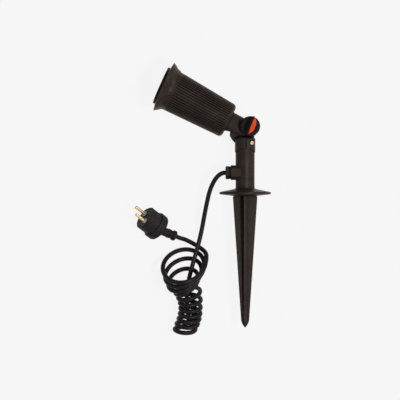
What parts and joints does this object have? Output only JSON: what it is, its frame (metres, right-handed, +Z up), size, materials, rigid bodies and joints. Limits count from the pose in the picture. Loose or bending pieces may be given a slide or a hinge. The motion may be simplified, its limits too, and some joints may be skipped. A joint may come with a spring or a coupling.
{
  "type": "garden spike spotlight",
  "caption": "Ribbed spotlight head on a tilting and turning knuckle, with a post, ground spike, side cable gland and coiled cord with a round moulded plug.",
  "frame": {"origin": "centre of the footprint of the lamp without its cord, on the table that the lamp lies on", "axes": "+Y along the post from spike to head, +X to the side away from the cable gland, +Z up from the table on which the lamp lies on its side"},
  "size_m": [0.2043, 0.4089, 0.0774],
  "materials": {
    "body_plastic": "fine textured dark brown-black",
    "gland_plastic": "satin",
    "rubber_black": "matte",
    "cord_rubber": "satin",
    "plug_rubber": "matte",
    "white_plastic": "gloss",
    "copper_leads": "insulated leads",
    "brass": "plain",
    "pale_plastic": "satin",
    "steel": "plated",
    "lens_glass": "clear",
    "bright_metal": "bright reflector",
    "white_ceramic": "plain",
    "knob_plastic": "satin",
    "orange_plastic": "satin"
  },
  "bodies": {
    "base": {"spike": "body_plastic", "ground_flange": "body_plastic", "post": "body_plastic", "gland_body": "gland_plastic", "gland_seal": "rubber_black", "cable_end": "cord_rubber", "terminal_block": "white_plastic", "post_leads": "copper_leads", "cord_lead": "cord_rubber", "cord_coil": "cord_rubber", "cord_tail": "cord_rubber", "plug_body": "plug_rubber", "plug_boot": "plug_rubber", "plug_pins": "brass", "plug_pin_sleeves": "pale_plastic"},
    "pan": {"collar": "body_plastic", "pivot_bolt": "steel", "friction_washer": "rubber_black"},
    "head": {"elbow": "body_plastic", "elbow_gasket": "rubber_black", "elbow_screws": "steel", "housing": "body_plastic", "lens_gasket": "rubber_black", "lens": "lens_glass", "lamp_bowl": "bright_metal", "lamp_cover": "lens_glass", "lamp_pins": "steel", "lampholder": "white_ceramic", "holder_bracket": "steel", "holder_screws": "steel", "lamp_leads": "copper_leads", "knob_washer": "steel"},
    "knob": {"knob": "knob_plastic", "knob_inlay": "orange_plastic", "knob_insert": "brass"},
    "ring": {"lens_ring": "body_plastic"},
    "lock_screw": {"set_screw": "brass"},
    "nut": {"gland_nut": "gland_plastic"}
  },
  "joints": [
    {"name": "pan_turn", "type": "hinge", "parent": "base", "child": "pan", "pos_m": [0.04987, 0.08, 0.0387], "axis": [0, 1, 0], "range_deg": [-170, 170]},
    {"name": "head_tilt", "type": "hinge", "parent": "pan", "child": "head", "pos_m": [0.05707, 0.10317, 0.0387], "axis": [0, 0, -1], "range_deg": [-12, 80]},
    {"name": "knob_turn", "type": "hinge", "parent": "pan", "child": "knob", "pos_m": [0.05707, 0.10317, 0.056], "axis": [0, 0, 1], "range_deg": [-30, 180]},
    {"name": "ring_turn", "type": "hinge", "parent": "head", "child": "ring", "pos_m": [-0.07199, 0.16318, 0.0387], "axis": [-0.9135, 0.4067, 0], "range_deg": [0, 60]},
    {"name": "lock_screw_turn", "type": "hinge", "parent": "pan", "child": "lock_screw", "pos_m": [0.05908, 0.07837, 0.05092], "axis": [0.6018, 0, 0.7986], "range_deg": [0, 180]},
    {"name": "gland_nut_turn", "type": "hinge", "parent": "base", "child": "nut", "pos_m": [0.0235, 0.03397, 0.0387], "axis": [-1, 0, 0], "range_deg": [0, 90]}
  ]
}
